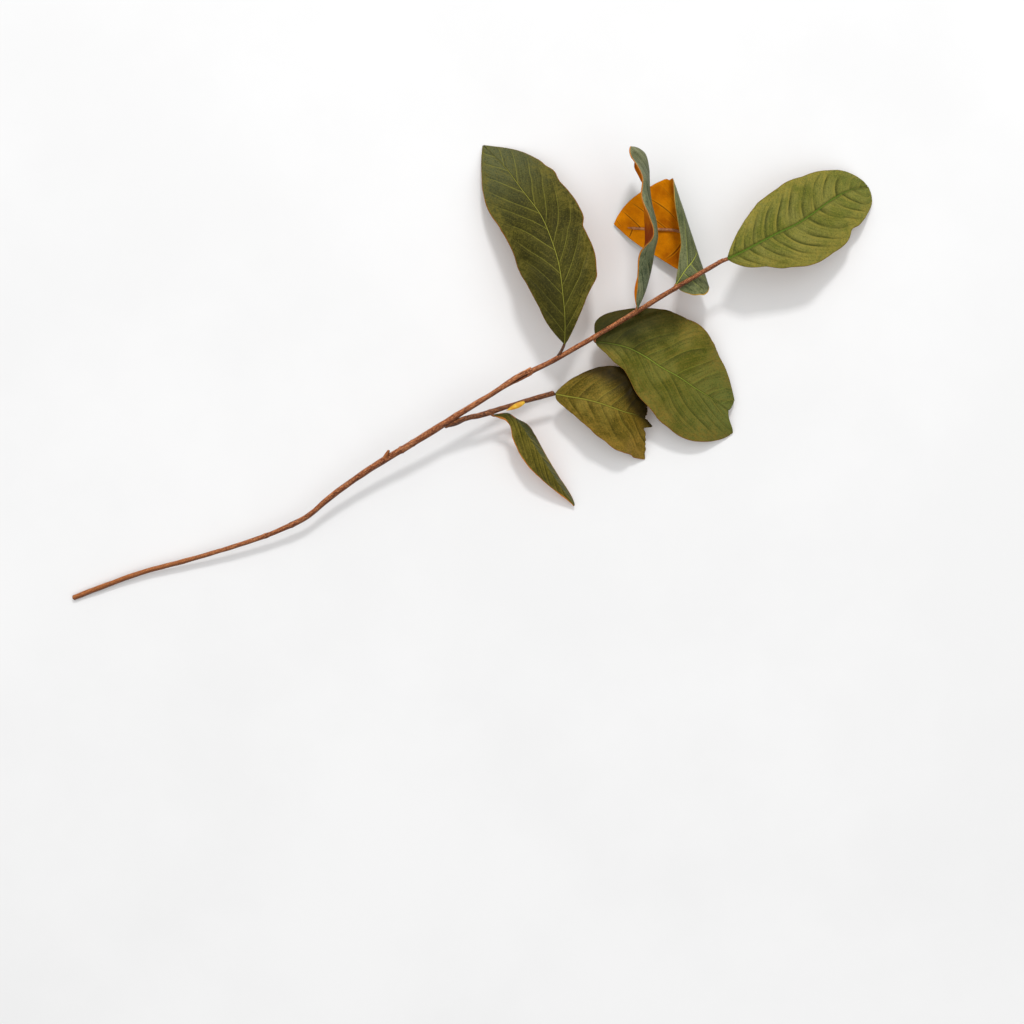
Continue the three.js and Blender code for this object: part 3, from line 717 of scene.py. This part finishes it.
def leaf_top(name, deep, pale, margin, vein, tip, vein_strength=0.7, rib_strength=1.0,
             rib_width=1.0, streaks=0.55, pleat_shading=0.5, left=None, base=None, base_strength=0.7,
             painted_shadow=None, rim=(0.98, paint(140, 92, 32)), flare=0.0):
    """The upper face of a dried leaf: cloudy green, yellower at the margin, with thin veins,
    painted shade on one flank of each and a painted highlight on the other, fine lines that run
    with them, and a net between. left is another colour of the left half, base one near the
    stalk, and the last colour before rim is a painted shadow over the left corner of the end. rim
    is where the margin's line starts and its colour, and flare is how much wider that line is at
    both ends of the right half."""
    finish = Finish(name, 0.55, 0.09)
    u, t = finish.uv("place")
    count, x = finish.uv("vein")
    q = finish.math("ABSOLUTE", u)
    where = finish.position()
    shade = darker(deep, 0.35)

    clouds = finish.noise(where, 42, 5, 0.6)
    colour = finish.tint(deep, pale, clouds, 0.36, 0.64)
    colour = finish.tint(colour, tip, t, 0.6, 1.0, 0.6)
    # On leaf_twig_small this left colour is a painted sheen on its steep left facet
    if left:
        colour = finish.tint(colour, left, u, -0.02, 0.08)
    mottle = finish.noise(where, 340, 5, 0.8)
    edge = finish.times(finish.minus(clouds, 0.5), 1.8)
    edge = finish.fade(finish.plus(q, edge), 0.5, 1.0)
    colour = finish.tint(colour, margin, mottle, 0.36, 0.6, finish.times(edge, 0.8))
    spots = finish.noise(where, 320, 3, 0.6)
    colour = finish.tint(colour, shade, spots, 0.6, 0.72, 0.25)
    specks = finish.noise(where, 820, 2)
    colour = finish.tint(colour, shade, specks, 0.48, 0.3, 0.45)
    colour = finish.tint(colour, margin, specks, 0.52, 0.7, 0.45)

    lines = finish.join(finish.times(count, 8.0), finish.times(q, 2.2))
    lines = finish.noise(lines, 1.0, 5, 0.7)
    colour = finish.tint(colour, margin, lines, 0.5, 0.72, 0.8 * streaks)
    colour = finish.tint(colour, shade, lines, 0.5, 0.3, streaks)

    # Painted light of the pleats: shade on one flank of each side vein and a highlight on the
    # other, by a strength that varies from vein to vein
    uneven = finish.join(finish.times(count, 1.3), finish.times(q, 1.5))
    uneven = finish.noise(uneven, 1.0, 2)
    strength = finish.times(finish.fade(uneven, 0.3, 0.62), pleat_shading)
    strength = finish.times(strength, finish.fade(q, 1.0, 0.6))
    part = finish.math("FRACT", count)
    flank = finish.times(finish.fade(part, 0.0, 0.06), strength)
    colour = finish.tint(colour, shade, part, 0.38, 0.06, flank)
    colour = finish.tint(colour, margin, part, 0.68, 0.97, finish.times(strength, 0.6))

    reach = finish.times(finish.fade(q, 1.0, 0.4), finish.fade(mottle, 0.2, 0.55))
    side_vein = finish.times(finish.fade(finish.off_whole(count), 0.035, 0.012), reach)
    side_vein = finish.times(side_vein, vein_strength)
    across = finish.math("DIVIDE", finish.math("ABSOLUTE", x), rib_width)
    across = finish.plus(across, finish.times(t, 0.25))
    colour = finish.tint(colour, shade, across, 1.6, 0.5, 0.5 * rib_strength)
    rib = finish.times(finish.fade(across, 0.65, 0.35), rib_strength)
    rib = finish.times(rib, finish.fade(t, 1.0, 0.75))
    veins = finish.math("MAXIMUM", side_vein, rib)
    colour = finish.mix(veins, colour, vein)
    rim_start, rim_colour = rim
    ends = finish.plus(finish.fade(t, 0.2, 0.02), finish.fade(t, 0.8, 0.98))
    inward = finish.times(finish.times(ends, finish.fade(u, 0, -0.2)), flare)
    outward = finish.plus(q, inward)
    colour = finish.tint(colour, rim_colour, outward, rim_start - 0.01, rim_start + 0.01)

    net = finish.cells(where, 640)
    threads = finish.times(finish.fade(mottle, 0.3, 0.7), 0.3)
    colour = finish.tint(colour, margin, net, 0.12, 0.0, threads)
    colour = finish.tint(colour, shade, net, 0.2, 0.5, 0.3)

    drift = finish.times(finish.minus(clouds, 0.5), 0.3)
    # base darkens the blade towards the stalk; on leaf_broad it is painted shade of the stem and
    # of leaf_edge_on above it
    if base:
        near = finish.plus(finish.minus(t, finish.times(u, 0.3)), drift)
        colour = finish.tint(colour, base, near, 0.42, 0.08, base_strength)
    # Painted shadow: the left corner of the end darkens where a leaf lying just above shades it
    if painted_shadow:
        far = finish.plus(finish.plus(t, finish.times(u, 0.7)), drift)
        colour = finish.tint(colour, painted_shadow, far, 0.65, 1.0, 0.9)
    height = finish.plus(lines, finish.times(net, 0.5))
    height = finish.minus(height, finish.times(veins, 0.5))
    finish.bump(height, 0.6, 0.0005)
    return finish.done(colour)


def leaf_under(name, rust, dark, pale, painted_shade_band=None):
    """The underside: a rusty felt with darker clouds, side veins with a pale and a dark side, a
    fine net, and a band of painted shade across the blade, given as its place, its half width and
    its colour."""
    finish = Finish(name, 0.7, 0.05)
    u, t = finish.uv("place")
    count = finish.uv("vein")[0]
    q = finish.math("ABSOLUTE", u)
    where = finish.position()
    clouds = finish.noise(where, 55, 4)
    colour = finish.tint(rust, dark, clouds, 0.35, 0.68)
    lines = finish.join(finish.times(count, 6.0), finish.times(q, 3.0))
    lines = finish.noise(lines, 1.0, 4, 0.65)
    colour = finish.tint(colour, pale, lines, 0.52, 0.8, 0.5)
    colour = finish.tint(colour, dark, lines, 0.45, 0.2, 0.5)
    off = finish.off_whole(count)
    inner = finish.fade(q, 1.0, 0.6)
    colour = finish.tint(colour, pale, off, 0.1, 0.04, finish.times(inner, 0.6))
    colour = finish.tint(colour, darker(dark, 0.6), off, 0.05, 0.015, inner)
    # A band of painted shade across the blade
    if painted_shade_band:
        place, spread, band_shade = painted_shade_band
        drift = finish.times(finish.minus(clouds, 0.5), 0.35)
        off_band = finish.math("ABSOLUTE", finish.minus(finish.plus(t, drift), place))
        colour = finish.tint(colour, band_shade, off_band, spread, 0.2 * spread)
    net = finish.cells(where, 520)
    colour = finish.tint(colour, dark, net, 0.1, 0.0, 0.25)
    finish.bump(finish.plus(lines, net), 0.5, 0.0003)
    return finish.done(colour)


def plain_cloudy(name, first, second, scale, roughness, specular=0.4):
    """Two colours in clouds, with a bump of the same clouds."""
    finish = Finish(name, roughness, specular)
    clouds = finish.noise(finish.position(), scale, 5, 0.6)
    finish.bump(clouds, 0.4, 0.0003)
    return finish.done(finish.tint(first, second, clouds, 0.35, 0.65))


def bark(name, deep, middle, light, old, old_until, painted_flank_shade=0.66):
    """Smooth young bark: streaks and flecks along the grain, paler patches, dark cracks, pale
    corky dots, painted shade along the flank that faces away from the light, by a strength from 0
    to 1, and an older tone near the cut end, up to a distance in millimetres."""
    finish = Finish(name, 0.32, 0.22)
    x, y, z = finish.split(finish.mark("grain"))
    shade = darker(deep, 0.3)
    streaks = finish.noise(finish.join(x, y, finish.times(z, 0.12)), 1.3, 6, 0.7)
    colour = finish.tint(deep, middle, streaks, 0.38, 0.53)
    colour = finish.tint(colour, light, streaks, 0.54, 0.66)
    patches = finish.noise(finish.join(x, y, finish.times(z, 0.3)), 0.22, 3)
    colour = finish.tint(colour, light, patches, 0.5, 0.72, 0.5)
    flecks = finish.noise(finish.join(x, y, finish.times(z, 0.45)), 2.4, 2)
    colour = finish.tint(colour, light, flecks, 0.52, 0.63, 0.75)
    colour = finish.tint(colour, shade, flecks, 0.48, 0.36, 0.6)
    colour = finish.tint(colour, old, z, old_until, old_until * 0.4, 0.6)
    cracks = finish.join(finish.times(x, 2.5), finish.times(y, 2.5), finish.times(z, 0.25))
    crack = finish.fade(finish.noise(cracks, 1.1, 3, 0.5), 0.36, 0.27)
    colour = finish.mix(finish.times(crack, 0.75), colour, shade)
    dots = finish.cells(finish.join(x, y, finish.times(z, 0.5)), 0.45, "F1")
    colour = finish.tint(colour, light, dots, 0.17, 0.09, 0.6)
    # Painted shade: the flank that faces away from the light is darkened
    colour = finish.tint(colour, shade, x, -1.2, 1.8, painted_flank_shade)
    finish.bump(finish.minus(streaks, crack), 0.8, 0.0006)
    return finish.done(colour)


def cut_wood(name):
    """A dry cut face: pale wood with fine specks."""
    finish = Finish(name, 0.8, 0.2)
    speckle = finish.noise(finish.position(), 1500, 3)
    return finish.done(finish.mix(speckle, paint(190, 140, 90), paint(150, 100, 60)))


def dress(piece, node, materials):
    """Gives a piece its materials and its body, and hides the imported part of its CAD node."""
    for material in materials:
        piece.data.materials.append(material)
    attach(piece, "root")
    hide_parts(node)


# The finishes. The three oranges of an underside are the felt, its darker and its paler parts
ORANGES = paint(228, 140, 2), paint(180, 98, 0), paint(236, 160, 26)
RUST = leaf_under("leaf_underside", *ORANGES)
# leaf_edge_on's underside has a band of painted shade across its middle, where its own blade
# shades it
RUST_SHADE_BAND = leaf_under("leaf_underside_shade_band", *ORANGES, (0.45, 0.2, paint(140, 58, 16)))
RUST_DULL = leaf_under("leaf_underside_dull", paint(178, 134, 68), paint(138, 98, 46),
                       paint(204, 162, 96))
RIM = plain_cloudy("leaf_rim", paint(160, 96, 30), paint(112, 70, 22), 300, 0.6)
RIB = plain_cloudy("rib_brown", paint(150, 92, 48), paint(196, 136, 84), 400, 0.35)
STALK_DARK = plain_cloudy("stalk_dark", paint(52, 30, 12), paint(86, 50, 22), 300, 0.5)
BARK_SLEEVE = bark("bark_sleeve", paint(96, 44, 16), paint(160, 88, 46), paint(226, 160, 108),
                   paint(160, 88, 46), 1, painted_flank_shade=0.45)
STALKS = {"leaf_upper": STALK_DARK, "leaf_twig_end": STALK_DARK, "leaf_rolled": RIB}
UNDERSIDES = {"leaf_edge_on": RUST_SHADE_BAND, "leaf_rolled": RUST, "leaf_twig_small": RUST}

TOPS = {
    "leaf_upper": leaf_top(
        "leaf_dark_top", paint(48, 47, 6), paint(68, 66, 12), paint(112, 102, 40),
        paint(144, 142, 56), paint(108, 114, 80), base=paint(38, 36, 4), base_strength=0.4,
        pleat_shading=0.28, vein_strength=0.55, rib_width=0.8),
    # The bluish greys of leaf_edge_on and leaf_rolled are partly their own green and partly
    # painted sheen of their steep faces
    "leaf_edge_on": leaf_top(
        "leaf_bluish_top", paint(62, 76, 48), paint(100, 112, 82), paint(142, 144, 106),
        paint(142, 150, 100), paint(124, 118, 76), streaks=1.0, rib_strength=0.3,
        rim=(0.96, paint(206, 124, 14)), flare=0.6),
    "leaf_rolled": leaf_top(
        "leaf_bluish_pale_top", paint(74, 84, 48), paint(102, 108, 74), paint(130, 132, 88),
        paint(160, 166, 70), paint(84, 96, 60), streaks=0.9, rim=(0.97, paint(186, 146, 50))),
    "leaf_tip": leaf_top(
        "leaf_pale_top", paint(94, 100, 34), paint(124, 122, 58), paint(148, 134, 54),
        paint(80, 106, 28), paint(108, 116, 50), vein_strength=0.0, rib_width=1.9, pleat_shading=0.9,
        rim=(0.985, paint(116, 98, 36))),
    "leaf_broad": leaf_top(
        "leaf_green_top", paint(78, 82, 16), paint(106, 106, 42), paint(126, 106, 40),
        paint(116, 130, 44), paint(92, 106, 52), vein_strength=0.35, rib_width=1.15,
        # leaf_broad's base colour is painted shade of the stem and of leaf_edge_on above it
        base=paint(26, 26, 0), base_strength=0.75, streaks=0.6, rim=(0.985, paint(128, 92, 32))),
    "leaf_twig_end": leaf_top(
        "leaf_ochre_top", paint(82, 72, 10), paint(122, 108, 40), paint(150, 118, 44),
        paint(132, 130, 46), paint(112, 88, 18), vein_strength=0.4, rib_width=1.15, pleat_shading=0.6,
        # The last colour of leaf_twig_end is a painted shadow of leaf_broad, which lies just
        # above its left corner
        painted_shadow=paint(20, 12, 0)),
    "leaf_twig_small": leaf_top(
        "leaf_folded_top", paint(70, 68, 8), paint(104, 96, 30), paint(140, 122, 48),
        paint(130, 128, 56), paint(100, 92, 36), rib_strength=0.0, streaks=0.9,
        # The left colour of leaf_twig_small is a painted sheen on its steep left facet
        left=paint(82, 88, 62), base=paint(34, 38, 12), vein_strength=0.3, pleat_shading=0.8,
        rim=(0.93, paint(200, 130, 56)), flare=0.5),
}

for leaf_name, leaf_spec in LEAVES.items():
    blade_finishes = [TOPS[leaf_name], UNDERSIDES.get(leaf_name, RUST_DULL), RIM]
    dress(blade(leaf_name + "_blade", leaf_spec), leaf_name, blade_finishes)
    stalk_finish = STALKS.get(leaf_name, BARK_SLEEVE)
    dress(stalk(leaf_name + "_stalk", leaf_spec), leaf_name, [stalk_finish])

BARK = bark("bark_red", paint(86, 38, 12), paint(152, 80, 40), paint(220, 150, 98),
            paint(176, 104, 50), 190)
BARK_DARK = bark("bark_dark", paint(62, 28, 8), paint(110, 58, 24), paint(184, 120, 72),
                 paint(110, 58, 24), 1, painted_flank_shade=0.5)
DARK_SCALE = plain_cloudy("dark_scale", paint(66, 34, 20), paint(90, 48, 28), 500, 0.6)
SEAM = plain_cloudy("seam_dark", paint(40, 18, 8), paint(66, 32, 16), 500, 0.7, 0.1)
CUT = cut_wood("cut_face")

# Raised rings of the stem and the side twig: place along it from 0 to 1, height and width
STEM_SCARS = [(0.28, 0.35, 1.6), (0.318, 0.3, 1.2), (0.5, 0.5, 1.0), (0.518, 0.35, 0.8),
              (0.80, 0.2, 1.5), (0.84, 0.2, 1.5), (0.885, 0.2, 1.5), (0.925, 0.2, 1.5)]
TWIG_SCARS = [(0.42, 0.2, 1.5), (0.72, 0.2, 1.2)]

# The pieces of wood: name, path, steps along it, seed, finishes, and what else shapes it
WOOD_PIECES = [
    ("stem_wood", STEM, 900, 11, [BARK, CUT], dict(scars=STEM_SCARS, ends=(1, 0))),
    ("twig_wood", TWIG, 160, 21, [BARK_DARK], dict(scars=TWIG_SCARS)),
    ("spur_wood", SPUR, 24, 31, [BARK], dict()),
    ("torn_scale", SCALE, 30, 41, [DARK_SCALE], dict(rough=0.08)),
    ("stem_sleeve", STEM_SLEEVE, 60, 51, [BARK_SLEEVE], dict()),
    ("twig_sleeve", TWIG_SLEEVE, 60, 61, [BARK_DARK], dict()),
    ("stem_ridge", STEM_RIDGE, 60, 71, [BARK_SLEEVE], dict(rough=0.1)),
    ("stem_lip", STEM_LIP, 60, 91, [BARK_SLEEVE], dict(rough=0.1)),
    ("stem_seam", STEM_SEAM, 60, 81, [SEAM], dict(rough=0.1)),
]
for wood_name, wood_path, wood_steps, wood_seed, wood_finishes, wood_shape in WOOD_PIECES:
    limb = wood(wood_name, wood_path, wood_steps, wood_seed, **wood_shape)
    dress(limb, "stem", wood_finishes)


def bud(name):
    """The bud: a pointed turned form with a low fold where its outer scale overlaps."""
    t = np.linspace(0, 1, BUD_RINGS)
    start = np.array(BUD_FROM)
    centres = start + (np.array(BUD_TO) - start) * t[:, None]
    radius = along(BUD_RADII, t)[:, None]
    angle = np.linspace(0, 2 * np.pi, BUD_SIDES, endpoint=False)[None]
    depth, width = BUD_FOLD
    fold = depth * hump(np.sin(angle / 2 - 0.6 - 0.5 * t[:, None]), width)
    grid = rings(centres, radius * (1 - fold) + 0.02, sides=BUD_SIDES)
    return tube(name, grid, {"grain": grain_of(centres, BUD_SIDES)})


BUD = plain_cloudy("bud_yellow", paint(226, 184, 60), paint(208, 146, 34), 260, 0.45, 0.25)
dress(bud("bud_scales"), "bud", [BUD])

# The table, its top 0.2 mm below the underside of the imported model, the camera straight above
# the middle of the picture, and the light, in metres
TABLE_SIDE = 8
TABLE_TOP = -0.0002
TABLE_PALE = plain_cloudy("table_white", paint(236, 236, 236), paint(232, 232, 232), 3, 0.9, 0.1)
bpy.ops.mesh.primitive_plane_add(size=TABLE_SIDE, location=(0, 0, TABLE_TOP))
table = bpy.context.object
table.name = "table"
table.data.materials.append(TABLE_PALE)

CAMERA_AT = (0.0353, -0.1203, 1.692)
LENS_MM = 70
SENSOR_MM = 36
camera_data = bpy.data.cameras.new("camera")
camera_data.lens = LENS_MM
camera_data.sensor_width = SENSOR_MM
camera = bpy.data.objects.new("camera", camera_data)
camera.location = CAMERA_AT
bpy.context.scene.collection.objects.link(camera)
bpy.context.scene.camera = camera


def soft_light(name, place, target, size, energy):
    """A rectangular area light of two sides in metres and an energy in watts, facing a target."""
    data = bpy.data.lights.new(name, "AREA")
    data.shape = "RECTANGLE"
    data.size, data.size_y = size
    data.energy = energy
    light = bpy.data.objects.new(name, data)
    light.location = place
    direction = np.subtract(target, place)
    light.rotation_mode = "QUATERNION"
    light.rotation_quaternion = Vector(direction).to_track_quat("-Z", "Y")
    bpy.context.scene.collection.objects.link(light)


soft_light("window", place=(0.22, 1.85, 2.35), target=(0.05, -0.05, 0), size=(0.42, 0.36),
           energy=34)


def studio_dome(walls, ceiling):
    """The room's light: dimmer walls and a brighter ceiling, each by its strength, with a smooth
    change between two heights of the direction, where 0 is level and 1 is straight up."""
    heights = (0.4, 0.9)
    world = bpy.data.worlds.new("studio")
    world.use_nodes = True
    nodes = world.node_tree.nodes
    links = world.node_tree.links
    nodes["Background"].inputs["Color"].default_value = (1, 1, 1, 1)
    split = nodes.new("ShaderNodeSeparateXYZ")
    links.new(nodes.new("ShaderNodeTexCoord").outputs["Generated"], split.inputs[0])
    ramp = nodes.new("ShaderNodeMapRange")
    ramp.interpolation_type = "SMOOTHSTEP"
    sockets = ("From Min", "From Max", "To Min", "To Max")
    for socket, value in zip(sockets, (*heights, walls, ceiling)):
        ramp.inputs[socket].default_value = value
    links.new(split.outputs[2], ramp.inputs["Value"])
    links.new(ramp.outputs[0], nodes["Background"].inputs["Strength"])
    return world


bpy.context.scene.world = studio_dome(walls=0.3, ceiling=1.3)
bpy.context.scene.view_settings.view_transform = "Standard"
